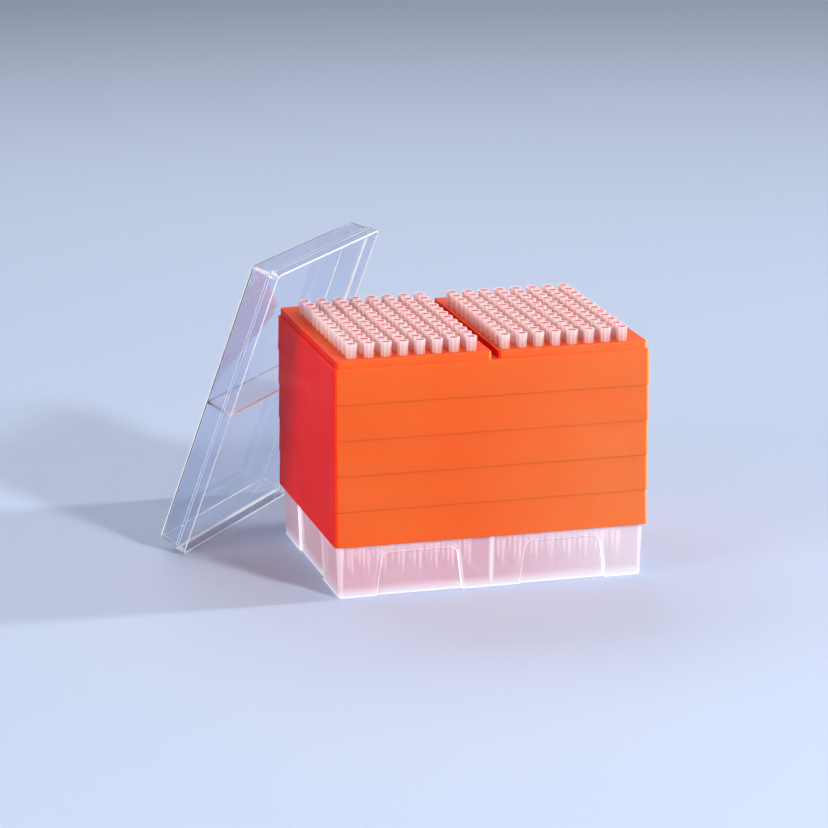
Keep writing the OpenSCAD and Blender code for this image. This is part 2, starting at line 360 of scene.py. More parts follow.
# %% [markdown]
# ## Orange plastic
# The racks are moulded in dyed polypropylene, which light enters a little way. Subsurface
# scattering with a long red radius lets some red light through the walls. Three attributes paint
# light and shade into the colour: deep red painted shade on the end walls and, at half strength,
# on the decks, and painted highlights down the round corners, red at the left and pale orange at
# the right. The fronts are painted paler towards the right end, as if lit from there. The surface
# is satin, with a faint grain and the slight waviness that large thin mouldings have.

# %% Orange plastic
orange, tree, shader = plastic("orange_polypropylene", {
    "Roughness": 0.38,
    "Subsurface Weight": 0.6,
    "Subsurface Radius": (1.0, 0.12, 0.04),
    "Subsurface Scale": 0.004,
    "IOR": 1.49,
    "Specular IOR Level": 0.04,
})
tree.links.new(map_range(tree, noise(tree, 60, 4), 0.32, 0.44), shader.inputs["Roughness"])
bump(tree, shader, noise(tree, 35, 3), 0.12 * MM)
print("made", orange.name)

# %% Colours of the orange plastic
# Painted light: the fronts are painted paler towards the right end, as if lit from there.
FRONT_X, PAINTED_LIT_X = -30 * MM, 90 * MM

front = drift(tree, 14, 3, (244, 96, 40), (246, 105, 48))
painted_lit_front = drift(tree, 14, 3, (243, 112, 58), (245, 121, 66))
colour = mix_by(tree, fade(tree, coordinate(tree, "X"), FRONT_X, PAINTED_LIT_X), painted_lit_front, front)
# Painted shade: deep red on the end walls and decks. Painted highlights: red and pale orange lines
# down the left and right round corners.
for name, *colours in (("end_wall", (216, 10, 5), (230, 20, 9)),
                       ("left_corner_highlight", (255, 34, 18), (255, 46, 24)),
                       ("right_corner_highlight", (255, 156, 84), (255, 170, 98))):
    colour = mix_by(tree, attribute(tree, name), colour, drift(tree, 9, 3, *colours))
tree.links.new(colour, shader.inputs["Base Color"])
print("nodes in", orange.name, "are", len(tree.nodes))

# %% [markdown]
# ## Refill racks
# A rack is one moulding: a leaning skirt with a ledge on top, and on the ledge two raised decks
# with a channel between them, each drilled for 96 tips. The skirt and the deck walls are lofted.
# The flat faces have up to 192 holes in them, so a node tree makes them: it turns each open edge
# of the walls into a curve, adds a circle at each place of the grid, and fills what lies between.
# A filled curve lands at height 0, so the tree lifts it back to its level.

# %% Sizes of a rack
skirt_low, skirt_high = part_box("rack_5")
SKIRT_HX, SKIRT_HY = skirt_high.x, skirt_high.y
SKIRT_H = skirt_low.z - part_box("rack_4")[0].z
DECK_Z = skirt_high.z - skirt_low.z
WALL = 1.2 * MM
SKIRT_LEAN, SKIRT_EDGE = 0.45 * MM, 1.45 * MM
LEDGE_IN, DECK_RIM = 0.9 * MM, 0.6 * MM
SKIRT_R, DECK_R, LEAST_R = 2.2 * MM, 1.75 * MM, 0.3 * MM
CHANNEL = (-0.9 * MM, 2.9 * MM)
DECK_HX, DECK_HY = SKIRT_HX - SKIRT_EDGE, SKIRT_HY - SKIRT_EDGE
HOLE_R = 2.55 * MM
COLUMNS, ROWS = 8, 12
PITCH = (mounts["tip_left_back"].x - mounts["tip_left_front"].x) / (COLUMNS - 1)
print("skirt step", round(SKIRT_H / MM, 2), "mm, pitch", round(PITCH / MM, 2), "mm")

# %% Walls of a rack
RACK_EDGE = 0.3 * MM


def rack_walls():
    """Skirt and deck walls with their skirt's foot at z = 0. Open wherever a flat face goes."""
    bm = bmesh.new()
    ledge, under = SKIRT_H, SKIRT_H - WALL
    slope = SKIRT_LEAN / SKIRT_H
    skirt = [(LEDGE_IN, ledge), (SKIRT_LEAN, ledge), (0, 0), (WALL, 0),
             (WALL + slope * under, under)]
    loft(bm, [ring(SKIRT_HX - inset, SKIRT_HY - inset, max(SKIRT_R - inset, LEAST_R), z)
              for inset, z in soften(skirt, RACK_EDGE)])
    deck = [(0, ledge), (0, DECK_Z), (DECK_RIM, DECK_Z)]
    for x0, x1 in ((-DECK_HX, CHANNEL[0]), (CHANNEL[1], DECK_HX)):
        middle, half = (x0 + x1) / 2, (x1 - x0) / 2
        loft(bm, [ring(half - inset, DECK_HY - inset, max(DECK_R - inset, LEAST_R), z, middle)
                  for inset, z in soften(deck, RACK_EDGE)])
        loft(bm, [ring(half - WALL, DECK_HY - WALL, DECK_R - WALL, z, middle)
                  for z in (under, DECK_Z - WALL)])
    return new_piece(bm, "rack_walls")


walls = rack_walls()
print("faces in a rack's walls:", len(walls.data.polygons))

# %% Tree that drills the decks: circles on the grid
drill, given, result = node_tree("perforated_decks", GRID_INPUTS + [
    ("Left", "NodeSocketVector", (0, 0, 0)), ("Right", "NodeSocketVector", (0, 0, 0)),
    ("Hole Radius", "NodeSocketFloat", 0.0025), ("Hole Sides", "NodeSocketInt", 12),
    ("Deck Top", "NodeSocketFloat", 0.02), ("Deck Under", "NodeSocketFloat", 0.02),
    ("Ledge Top", "NodeSocketFloat", 0.02), ("Ledge Under", "NodeSocketFloat", 0.02),
    ("Plastic", "NodeSocketMaterial", None)])
points = grid(drill, given)
both = drill.nodes.new("GeometryNodeJoinGeometry")
for side in ("Left", "Right"):
    moved = add(drill, "GeometryNodeTransform", Geometry=points, Translation=given[side])[0]
    drill.links.new(moved, both.inputs[0])
circle = add(drill, "GeometryNodeCurvePrimitiveCircle", {"mode": "RADIUS"},
             Resolution=given["Hole Sides"], Radius=given["Hole Radius"])["Curve"]
circles = add(drill, "GeometryNodeInstanceOnPoints", Points=both.outputs[0], Instance=circle)[0]
circles = add(drill, "GeometryNodeRealizeInstances", Geometry=circles)[0]
print("nodes in the tree so far:", len(drill.nodes))

# %% Tree, continued: flat faces
SAME_LEVEL = 2e-5
FLATS = (("Deck Top", True), ("Deck Under", True), ("Ledge Top", False), ("Ledge Under", False))

faces_beside = add(drill, "GeometryNodeInputMeshEdgeNeighbors")["Face Count"]
open_edge = add(drill, "FunctionNodeCompare", {"data_type": "INT", "operation": "EQUAL"},
                i2=faces_beside, i3=1)[0]
position = add(drill, "GeometryNodeInputPosition")[0]
height = add(drill, "ShaderNodeSeparateXYZ", Vector=position)["Z"]
whole = drill.nodes.new("GeometryNodeJoinGeometry")
drill.links.new(given["Geometry"], whole.inputs[0])
for level, drilled in FLATS:
    here = add(drill, "FunctionNodeCompare", {"data_type": "FLOAT", "operation": "EQUAL"},
               i0=height, i1=given[level], i12=SAME_LEVEL)[0]
    chosen = add(drill, "FunctionNodeBooleanMath", {"operation": "AND"}, i0=open_edge, i1=here)[0]
    outline = add(drill, "GeometryNodeMeshToCurve", Mesh=given["Geometry"], Selection=chosen)[0]
    join = drill.nodes.new("GeometryNodeJoinGeometry")
    drill.links.new(outline, join.inputs[0])
    if drilled:
        drill.links.new(circles, join.inputs[0])
    flat = add(drill, "GeometryNodeFillCurve", Curve=join.outputs[0])[0]
    lift = add(drill, "ShaderNodeCombineXYZ", Z=given[level])[0]
    lifted = add(drill, "GeometryNodeTransform", Geometry=flat, Translation=lift)[0]
    drill.links.new(lifted, whole.inputs[0])
print("nodes in the tree so far:", len(drill.nodes))

# %% Tree, continued: walls of the holes
MERGE = 2e-6

top, underside = given["Deck Top"], given["Deck Under"]
depth = combine(drill, "SUBTRACT", top, underside)
tube = add(drill, "GeometryNodeMeshCylinder", {"fill_type": "NONE"},
           Vertices=given["Hole Sides"], Radius=given["Hole Radius"], Depth=depth)["Mesh"]
centre = combine(drill, "MULTIPLY", combine(drill, "ADD", top, underside), 0.5)
lift = add(drill, "ShaderNodeCombineXYZ", Z=centre)[0]
tube = add(drill, "GeometryNodeTransform", Geometry=tube, Translation=lift)[0]
tubes = add(drill, "GeometryNodeInstanceOnPoints", Points=both.outputs[0], Instance=tube)[0]
drill.links.new(add(drill, "GeometryNodeRealizeInstances", Geometry=tubes)[0], whole.inputs[0])
closed = add(drill, "GeometryNodeMergeByDistance", Geometry=whole.outputs[0], Distance=MERGE)[0]
closed = add(drill, "GeometryNodeSetMaterial", Geometry=closed, Material=given["Plastic"])[0]
drill.links.new(closed, result.inputs[0])
print("nodes in the tree:", len(drill.nodes))

# %% Drill one rack
left_middle = (mounts["tip_left_front"] + mounts["tip_left_back"]) / 2
right_middle = (mounts["tip_right_front"] + mounts["tip_right_back"]) / 2
rack = grow(walls, drill, {
    "Columns": COLUMNS, "Rows": ROWS, "Pitch": PITCH,
    "Left": (left_middle.x, left_middle.y, 0), "Right": (right_middle.x, right_middle.y, 0),
    "Hole Radius": HOLE_R, "Deck Top": DECK_Z, "Deck Under": DECK_Z - WALL,
    "Ledge Top": SKIRT_H, "Ledge Under": SKIRT_H - WALL, "Plastic": orange}, "drilled_rack")
print("faces in a rack:", len(rack.data.polygons))

# %% [markdown]
# ## Marks for the orange plastic
# The material above reads three numbers from each face, where it paints shade and highlights. A
# face's normal says enough to set them: it points up or down on the decks, along X on the end
# walls, and between X and Y on the round corners.

# %% Mark the walls
LEVEL, FLAT_AREA = 0.999, 2e-5
# The decks get this share of the end walls' painted shade.
DECK_SHADE_SHARE = 0.45
END_FROM, END_OVER = 0.75, 0.2
# Strength of the painted highlights down the round corners.
CORNER_X, CORNER_Y, CORNER_HIGHLIGHT = 0.3, 0.2, 0.8


def mark_walls(piece):
    """Turns faces outwards, smooths narrow ones, marks painted shade on ends, decks, highlights on
    corners.
    """
    bm = bmesh.new()
    bm.from_mesh(piece.data)
    end_wall = bm.faces.layers.float.new("end_wall")
    corners = [bm.faces.layers.float.new(name) for name in ("left_corner_highlight", "right_corner_highlight")]
    bmesh.ops.recalc_face_normals(bm, faces=bm.faces)
    for face in bm.faces:
        x, y = face.normal.x, face.normal.y
        level = abs(face.normal.z) > LEVEL
        # Painted shade: full on the end walls, a share on the decks.
        face[end_wall] = DECK_SHADE_SHARE if level else min(max((abs(x) - END_FROM) / END_OVER, 0), 1)
        # Painted highlights on the round corners, red at the left and pale orange at the right.
        round_corner = not level and abs(x) > CORNER_X and abs(y) > CORNER_Y
        for layer, side in zip(corners, (-1, 1)):
            face[layer] = CORNER_HIGHLIGHT if round_corner and x * side > 0 else 0.0
        face.smooth = not (level or face.calc_area() > FLAT_AREA)
    print("open edges in a rack:", open_edges(bm))
    bm.to_mesh(piece.data)
    bm.free()


mark_walls(rack)

# %% Stack five copies
for number in range(1, 6):
    node = f"rack_{number}"
    mesh = rack.data.copy()
    mesh.transform(Matrix.Translation((0, 0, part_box(node)[0].z)))
    piece = as_object(f"refill_rack_{number}", mesh)
    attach(piece, "root")
    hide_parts(node)
bpy.data.objects.remove(rack)
print("racks:", number)

# %% [markdown]
# ## Natural plastic
# Tips are moulded in undyed polypropylene, a milky white that lets some light through. Their
# ribbed collars are whitest at their ribs and rims, where the wall is thick. The grooves get a
# painted shade, and towards the foot a painted warm glow of the orange deck. The mouths get a
# painted shade, dark and red. The mesh stores both for each point, and the material reads
# them. A little light also passes straight through, so the tips' shadows are never black. The
# ends of the lowest tips, inside the base box, have a painted glow, and the collars a trace of
# it.

# %% Natural plastic
natural, tree, shader = plastic("natural_polypropylene", {
    "Roughness": 0.22,
    "Transmission Weight": 0.15,
    "Alpha": 0.8,
    "IOR": 1.4,
    "Subsurface Weight": 0.4,
    "Subsurface Radius": (1.0, 0.6, 0.5),
    "Subsurface Scale": 0.001,
    "Sheen Weight": 0.5,
    "Sheen Roughness": 0.25,
    # Colour of the painted glow.
    "Emission Color": (1.0, 0.86, 0.86, 1),
})
# Painted shade in the grooves and painted orange light towards the foot.
wall = ramp(tree, attribute(tree, "painted_tint"), [
    (0.0, srgb(255, 253, 253)), (0.4, srgb(254, 216, 214)), (1.0, srgb(252, 160, 128))])
# Painted shade inside the mouths, darkest and reddest at the throat.
mouth = ramp(tree, attribute(tree, "mouth_depth"), [
    (0.0, srgb(255, 232, 232)), (0.08, srgb(228, 116, 122)), (0.3, srgb(206, 70, 78)),
    (1.0, srgb(150, 34, 34))])
inside = ramp(tree, attribute(tree, "mouth_depth"), [(0.0, (0, 0, 0, 1)), (0.03, (1, 1, 1, 1))])
tree.links.new(mix_by(tree, inside, wall, mouth), shader.inputs["Base Color"])
tree.links.new(map_range(tree, noise(tree, 900, 2), 0.16, 0.3), shader.inputs["Roughness"])
print("made", natural.name)

# %% Painted glow of the tips
IN_BASE_Z, ABOVE_BASE_Z = 22 * MM, 30 * MM
COLLAR_PAINTED_GLOW, END_PAINTED_GLOW = 0.03, 0.45

# Painted glow: strong on the ends inside the base box, faint on the collars.
painted_glow = fade(tree, coordinate(tree, "Z"), IN_BASE_Z, ABOVE_BASE_Z)
tree.links.new(map_range(tree, painted_glow, COLLAR_PAINTED_GLOW, END_PAINTED_GLOW), shader.inputs["Emission Strength"])
print("tips glow below", round(ABOVE_BASE_Z / MM), "mm")

# %% [markdown]
# ## Tips
# One tip is a slim hollow cone with a ribbed collar that sits on the deck. It is repeated 960
# times, so it has only a few dozen faces: sixteen around the collar, whose radius goes in and out
# to make eight ribs, and eight around the body. A node tree sets it on the grid and gives each
# one its own small turn and tilt, because loose tips never stand quite alike. The seed keeps them
# the same in every run.

# %% Sizes of a tip
COLLAR_H, BODY_L, FINE_L = 7.6 * MM, 39.4 * MM, 20 * MM
RIM_R, RIM_GROOVE_R = 3.2 * MM, 2.84 * MM
FOOT_R, FOOT_GROOVE_R = 2.75 * MM, 2.56 * MM
MOUTH_R, THROAT_R, THROAT_Z = 2.62 * MM, 1.95 * MM, 0.4 * MM
BODY_R, BEND_R, END_R = 2.4 * MM, 1.55 * MM, 0.5 * MM
COLLAR_SIDES, BODY_SIDES = 16, 8
# Share of the painted tint on ribs and grooves, at the rim and at the foot.
RIM_PAINTED_TINT, FOOT_PAINTED_TINT = (0.0, 0.3), (0.6, 1.0)
print("a tip is", round((COLLAR_H + BODY_L) / MM, 1), "mm long")

# %% Round loops
def circle_points(bm, sides, radii, z):
    """A ring of vertices whose radius goes through radii in turn."""
    out = []
    for i in range(sides):
        angle = 2 * math.pi * i / sides
        radius = radii[i % len(radii)]
        out.append(bm.verts.new((radius * math.cos(angle), radius * math.sin(angle), z)))
    return out


def strip(bm, low, high, smooth):
    """Faces between two loops of equal length."""
    for i in range(len(low)):
        j = (i + 1) % len(low)
        bm.faces.new((low[i], low[j], high[j], high[i])).smooth = smooth


print("round helpers ready")

# %% One tip
def one_tip():
    """A tip with its collar's foot at z = 0, with its painted tint and mouth depth on its points.
    """
    bm = bmesh.new()
    painted_tint = bm.verts.layers.float.new("painted_tint")
    mouth_depth = bm.verts.layers.float.new("mouth_depth")
    end = circle_points(bm, BODY_SIDES, [END_R], -BODY_L)
    bend = circle_points(bm, BODY_SIDES, [BEND_R], FINE_L - BODY_L)
    neck = circle_points(bm, BODY_SIDES, [BODY_R], 0)
    foot = circle_points(bm, COLLAR_SIDES, [FOOT_R, FOOT_GROOVE_R], 0)
    rim = circle_points(bm, COLLAR_SIDES, [RIM_R, RIM_GROOVE_R], COLLAR_H)
    lip = circle_points(bm, COLLAR_SIDES, [MOUTH_R], COLLAR_H)
    throat = circle_points(bm, COLLAR_SIDES, [THROAT_R], THROAT_Z)
    bm.faces.new(end[::-1])
    strip(bm, end, bend, True)
    strip(bm, bend, neck, True)
    for i in range(BODY_SIDES):
        bm.faces.new((neck[i], neck[(i + 1) % BODY_SIDES],
                      foot[(2 * i + 2) % COLLAR_SIDES], foot[2 * i + 1], foot[2 * i]))
    strip(bm, foot, rim, False)
    strip(bm, rim, lip, False)
    strip(bm, lip, throat, True)
    bm.faces.new(throat)
    for loop, painted_tints in ((rim, RIM_PAINTED_TINT), (foot, FOOT_PAINTED_TINT)):
        for i, vertex in enumerate(loop):
            vertex[painted_tint] = painted_tints[i % 2]
    for vertex in throat:
        vertex[mouth_depth] = 1.0
    bmesh.ops.recalc_face_normals(bm, faces=bm.faces)
    print("faces in a tip:", len(bm.faces), "open edges:", open_edges(bm))
    return new_piece(bm, "one_tip")


tip = one_tip()

# %% Tree that sets tips on the grid
SEED_STEP = 100.0

field, given, result = node_tree("tip_field", GRID_INPUTS + [
    ("Middle", "NodeSocketVector", (0, 0, 0)), ("Tilt", "NodeSocketFloat", 0.01),
    ("Seed", "NodeSocketInt", 1), ("Plastic", "NodeSocketMaterial", None)])
points = add(field, "GeometryNodeTransform", Geometry=grid(field, given),
             Translation=given["Middle"])[0]


def random_float(tree, low, high, seed):
    """A random number for each point."""
    return add(tree, "FunctionNodeRandomValue", {"data_type": "FLOAT"},
               i2=low, i3=high, i8=seed)[1]


tilt, seed = given["Tilt"], given["Seed"]
minus_tilt = combine(field, "MULTIPLY", tilt, -1.0)
next_seed = combine(field, "ADD", seed, SEED_STEP)
last_seed = combine(field, "ADD", seed, 2 * SEED_STEP)
turn = add(field, "ShaderNodeCombineXYZ",
           X=random_float(field, minus_tilt, tilt, seed),
           Y=random_float(field, minus_tilt, tilt, next_seed),
           Z=random_float(field, 0.0, 2 * math.pi, last_seed))[0]
turned = add(field, "FunctionNodeEulerToRotation", Euler=turn)[0]
tips = add(field, "GeometryNodeInstanceOnPoints", Points=points, Instance=given["Geometry"],
           Rotation=turned)[0]
tips = add(field, "GeometryNodeRealizeInstances", Geometry=tips)[0]
tips = add(field, "GeometryNodeSetMaterial", Geometry=tips, Material=given["Plastic"])[0]
field.links.new(tips, result.inputs[0])
print("nodes in the tree:", len(field.nodes))

# %% Tips in every half of every rack
TILT = math.radians(0.7)

for number in range(1, 6):
    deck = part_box(f"rack_{number}")[1].z
    for side, middle in (("left", left_middle), ("right", right_middle)):
        node = f"tips_{number}_{side}"
        start = as_object("start", tip.data.copy())
        piece = grow(start, field, {
            "Columns": COLUMNS, "Rows": ROWS, "Pitch": PITCH, "Middle": (middle.x, middle.y, deck),
            "Tilt": TILT, "Seed": number * 2 + (side == "right"), "Plastic": natural},
            f"loose_tips_{number}_{side}")
        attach(piece, "root")
        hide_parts(node)
bpy.data.objects.remove(tip)
print("faces in the last field:", len(piece.data.polygons))

# %% [markdown]
# ## Frosted plastic
# The base box is frosted polypropylene: a milky body that lets part of the light straight
# through, so the tips inside show as soft streaks. Wherever there is more plastic behind the
# surface it is whiter: low down where the floor is seen edge-on, and where the partition meets
# the wall. The edges are whiter, partly from the thicker plastic there and partly a painted
# highlight, a line along the foot is a painted highlight, and both give off a little painted
# glow. The edges come from an attribute of the mesh, the others from the place on the object.
# A painted pink light of the racks above tints the milky body, least at the right end.

# %% Frosted plastic
frosted, tree, shader = plastic("frosted_polypropylene", {
    "Roughness": 0.3,
    "IOR": 1.45,
    "Subsurface Weight": 0.3,
    "Subsurface Radius": (1.0, 0.9, 0.95),
    "Subsurface Scale": 0.002,
    "Sheen Weight": 0.3,
    "Sheen Roughness": 0.3,
    # Colour of the painted glow.
    "Emission Color": (1.0, 0.97, 0.99, 1),
})
tree.links.new(map_range(tree, noise(tree, 80, 4), 0.24, 0.36), shader.inputs["Roughness"])
bump(tree, shader, noise(tree, 1500, 2), 0.02 * MM, 0.4)
print("made", frosted.name)

# %% Where the frosted plastic is thick, and its painted highlight lines
FLOOR_REACH, FLOOR_SHARE = 7 * MM, 0.8
POST_X, POST_HALF, POST_REACH, POST_SHARE = -0.3 * MM, 0.3 * MM, 1.8 * MM, 0.7
FOOT_LOW, FOOT_HIGH, FOOT_SHARE = 0.5 * MM, 1.6 * MM, 0.8

off_post = combine(tree, "SUBTRACT", coordinate(tree, "X"), POST_X)
off_post = combine(tree, "ABSOLUTE", off_post, 0.0)
floor_edge = fade(tree, coordinate(tree, "Z"), 0.0, FLOOR_REACH)
by_post = fade(tree, off_post, POST_HALF, POST_REACH)
thick_and_highlit = combine(tree, "MAXIMUM", combine(tree, "MULTIPLY", floor_edge, FLOOR_SHARE),
                combine(tree, "MULTIPLY", by_post, POST_SHARE))
# Painted highlight: a bright line along the foot.
painted_foot_line = fade(tree, coordinate(tree, "Z"), FOOT_LOW, FOOT_HIGH)
painted_foot_line = combine(tree, "MULTIPLY", painted_foot_line, FOOT_SHARE)
# Painted highlight on the marked edges and the foot line; it also drives the painted glow.
painted_highlight_line = combine(tree, "MAXIMUM", attribute(tree, "painted_edge_light"), painted_foot_line)
thick_and_highlit = combine(tree, "MAXIMUM", thick_and_highlit, painted_highlight_line)
print("whiter up to", round(FLOOR_REACH / MM), "mm above the foot")

# %% Colours of the frosted plastic
THIN_ALPHA, THICK_ALPHA, EDGE_PAINTED_GLOW = 0.48, 0.96, 0.28
PAINTED_PINK_X, PALE_END_X = 0.0, 80 * MM

# Painted pink light of the racks, fading out towards the right end.
painted_pink_light = drift(tree, 12, 2, (240, 184, 198), (238, 200, 212))
pale = drift(tree, 12, 2, (242, 222, 232), (246, 232, 240))
broad = mix_by(tree, fade(tree, coordinate(tree, "X"), PAINTED_PINK_X, PALE_END_X), pale, painted_pink_light)
bright = drift(tree, 12, 2, (255, 250, 253), (255, 253, 255))
tree.links.new(mix_by(tree, thick_and_highlit, broad, bright), shader.inputs["Base Color"])
tree.links.new(map_range(tree, thick_and_highlit, THIN_ALPHA, THICK_ALPHA), shader.inputs["Alpha"])
# Painted glow along the edges and the foot.
tree.links.new(map_range(tree, painted_highlight_line, 0.0, EDGE_PAINTED_GLOW), shader.inputs["Emission Strength"])
print("nodes in", frosted.name, "are", len(tree.nodes))

# %% [markdown]
# ## Base box
# The base box has arched panels that no simple loft gives, so its CAD mesh is the best start. A
# CAD mesh is loose triangles. A copy of it is merged, flat neighbours are joined into whole
# faces, and every sharp edge is bevelled a little. Narrow faces are then marked in an attribute,
# where the materials paint a highlight and a little glow on the edges. The upright corners get a
# weaker mark, as the small faces of their arcs are narrow too, but no real edges.

# %% Mark the edges
CORNER_REACH, CORNER_SHARE = 5.5 * MM, 0.3
UPRIGHT = 0.5


def mark_edges(bm, narrow):
    """Marks narrow faces with 1 and upright corners less, for a painted edge highlight; smooths
    small faces.
    """
    layer = bm.faces.layers.float.new("painted_edge_light")
    half = [max(v.co[i] for v in bm.verts) for i in range(2)]
    for face in bm.faces:
        width = 2 * face.calc_area() / face.calc_perimeter()
        middle = face.calc_center_median()
        corner = (abs(face.normal.z) < UPRIGHT
                  and all(abs(middle[i]) > half[i] - CORNER_REACH for i in range(2)))
        face[layer] = 0.0 if width >= narrow else (CORNER_SHARE if corner else 1.0)
        face.smooth = face.calc_area() < FLAT_AREA and abs(face.normal.z) < LEVEL


print("marks on upright corners are", CORNER_SHARE, "of those on edges")

# %% Softened copy of the base box
SAME_PLANE, SHARP = math.radians(0.3), math.radians(35)
BASE_EDGE, BASE_NARROW = 0.3 * MM, 1.3 * MM

bm = bmesh.new()
bm.from_mesh(nodes["base"].data)
bmesh.ops.remove_doubles(bm, verts=bm.verts, dist=MERGE)
bmesh.ops.dissolve_limit(bm, angle_limit=SAME_PLANE, verts=bm.verts, edges=bm.edges)
sharp = [edge for edge in bm.edges if edge.is_manifold and edge.calc_face_angle(0) > SHARP]
bmesh.ops.bevel(bm, geom=sharp, offset=BASE_EDGE, offset_type="OFFSET", segments=2, profile=0.5,
                affect="EDGES", clamp_overlap=False, loop_slide=True)
mark_edges(bm, BASE_NARROW)
print("faces in the base:", len(bm.faces), "open edges:", open_edges(bm))
base = new_piece(bm, "base_box")
base.data.materials.append(frosted)
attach(base, "root")
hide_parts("base")

# %% [markdown]
# ## Clear plastic
# The lid is clear polystyrene. Its broad walls hardly show, and its edges have a painted
# highlight. The walls get nearly full transmission. The marked edge faces get a rougher white
# body as a painted highlight and a painted glow, and the rib has some of both.

# %% Clear plastic
clear, tree, shader = plastic("clear_polystyrene", {
    "Roughness": 0.03,
    "IOR": 1.46,
    "Specular IOR Level": 0.5,
    # Colour of the painted edge glow.
    "Emission Color": (0.93, 0.95, 1.0, 1),
})
edge = attribute(tree, "painted_edge_light")
# Painted highlight: the marked edges are whiter.
whiter = ramp(tree, edge, [(0.0, srgb(232, 237, 250)), (1.0, srgb(252, 253, 255))])
tree.links.new(whiter, shader.inputs["Base Color"])
# The marked edges are less clear and rougher, and give off a painted glow.
for socket, on_wall, on_edge in (("Transmission Weight", 0.97, 0.3), ("Roughness", 0.03, 0.3),
                                 ("Emission Strength", 0.0, 0.14)):
    tree.links.new(map_range(tree, edge, on_wall, on_edge), shader.inputs[socket])
print("made", clear.name)

# %% [markdown]
# ## Lid
# The lid is a shallow tray with a rim band, a step in to a slightly tapered wall, a bevelled
# closed face with the moulding gate's mark in its middle, and a cross rib that drops into the
# channel of the uppermost rack. It is lofted lying down, rim at z = 0, and the rib is joined to
# it by an exact Boolean, so that no wall is hidden inside another in the clear plastic. Then its
# points are turned and moved to where the lid leans.

# %% Sizes of the lid
LID_W, LID_D = 2 * DECK_HX + 2.9 * MM, 2 * DECK_HY + 2.9 * MM
LID_H, BAND_H, LID_WALL = 16.9 * MM, 6 * MM, 1.2 * MM
STEP, FOOT_INSET, LID_SLOPE = 1.1 * MM, 0.55 * MM, 1 / 10.9
LID_R, LID_LEAST_R, CORNER_SHRINK = 3 * MM, 0.5 * MM, 0.75
BEVEL, LID_EDGE, FACE_MARGIN = 0.8 * MM, 0.3 * MM, 3 * MM
RIB_T, RIB_SHORT, RIB_X, RIB_R = 1.6 * MM, 0.3 * MM, 1 * MM, 0.15 * MM
RIB_GAP, RIB_BEVEL = 0.3 * MM, 0.3 * MM
GATE_R, GATE_H, GATE_ROOT, GATE_SIDES = 1.6 * MM, 0.3 * MM, 0.4 * MM, 24
LID_LEAN, LID_TURN = 20.3, 39.0
print("lid", [round(size / MM, 1) for size in (LID_W, LID_D, LID_H)], "mm")

# %% Lid, lying down
def lid_rings():
    """Rings from the middle of the ceiling, round the rim and up to the closed face."""
    ceiling, band = LID_H - LID_WALL, BAND_H - LID_WALL
    inside = FOOT_INSET + LID_WALL
    outside = FOOT_INSET + LID_SLOPE * LID_H + BEVEL
    profile = [
        (inside + LID_SLOPE * ceiling + FACE_MARGIN, ceiling),
        (inside + LID_SLOPE * ceiling, ceiling),
        (inside + LID_SLOPE * band, band),
        (LID_WALL, band), (LID_WALL, 0), (0, 0), (0, BAND_H), (STEP, BAND_H),
        (FOOT_INSET + LID_SLOPE * (LID_H - BEVEL), LID_H - BEVEL),
        (outside, LID_H),
        (outside + FACE_MARGIN, LID_H)]
    rings = []
    for inset, z in soften(profile, LID_EDGE):
        radius = max(LID_R - inset * CORNER_SHRINK, LID_LEAST_R)
        rings.append(ring(LID_W / 2 - inset, LID_D / 2 - inset, radius, z))
    return rings


def closed_piece(name, rings):
    """A loft with both of its ends closed."""
    bm = bmesh.new()
    for end in loft(bm, rings):
        bm.faces.new(end)
    bmesh.ops.recalc_face_normals(bm, faces=bm.faces)
    return new_piece(bm, name)


rib_hy = LID_D / 2 - LID_WALL - RIB_GAP
rib_profile = ((RIB_BEVEL, RIB_SHORT), (0, RIB_SHORT + RIB_BEVEL), (0, LID_H - LID_WALL / 2))
rib = closed_piece("rib", [ring(RIB_T / 2 - inset, rib_hy - LID_SLOPE * z, RIB_R, z, RIB_X)
                           for inset, z in rib_profile])
lid = closed_piece("clear_lid", lid_rings())
print("rib length", round(2 * rib_hy / MM, 1), "mm")

# %% Join the rib and the gate's mark
def join_in(piece, tool, name):
    """Joins tool to piece by an exact Boolean and returns the result as a plain mesh object."""
    union = piece.modifiers.new("union", "BOOLEAN")
    union.operation = "UNION"
    union.solver = "EXACT"
    union.object = tool
    bpy.context.view_layer.update()
    graph = bpy.context.evaluated_depsgraph_get()
    joined = as_object(name, bpy.data.meshes.new_from_object(piece.evaluated_get(graph)))
    bpy.data.objects.remove(piece)
    bpy.data.objects.remove(tool)
    return joined


lid = join_in(lid, rib, "lid_with_rib")
bm = bmesh.new()
low = circle_points(bm, GATE_SIDES, [GATE_R], LID_H - GATE_ROOT)
high = circle_points(bm, GATE_SIDES, [GATE_R], LID_H + GATE_H)
bm.faces.new(low[::-1])
strip(bm, low, high, True)
bm.faces.new(high)
lid = join_in(lid, new_piece(bm, "gate"), "clear_lid")
print("faces:", len(lid.data.polygons))

# %% Mark the lid's edges and the rib
LID_NARROW, RIB_SHARE = 1.6 * MM, 0.25
ALONG_X, ON_RIB = 0.9, 0.1 * MM

bm = bmesh.new()
bm.from_mesh(lid.data)
bmesh.ops.remove_doubles(bm, verts=bm.verts, dist=MERGE)
mark_edges(bm, LID_NARROW)
marked = bm.faces.layers.float["painted_edge_light"]
for face in bm.faces:
    off_rib = abs(face.calc_center_median().x - RIB_X)
    if abs(face.normal.x) > ALONG_X and abs(off_rib - RIB_T / 2) < ON_RIB:
        face[marked] = max(face[marked], RIB_SHARE)
print("open edges in the lid:", open_edges(bm))
bm.to_mesh(lid.data)
bm.free()

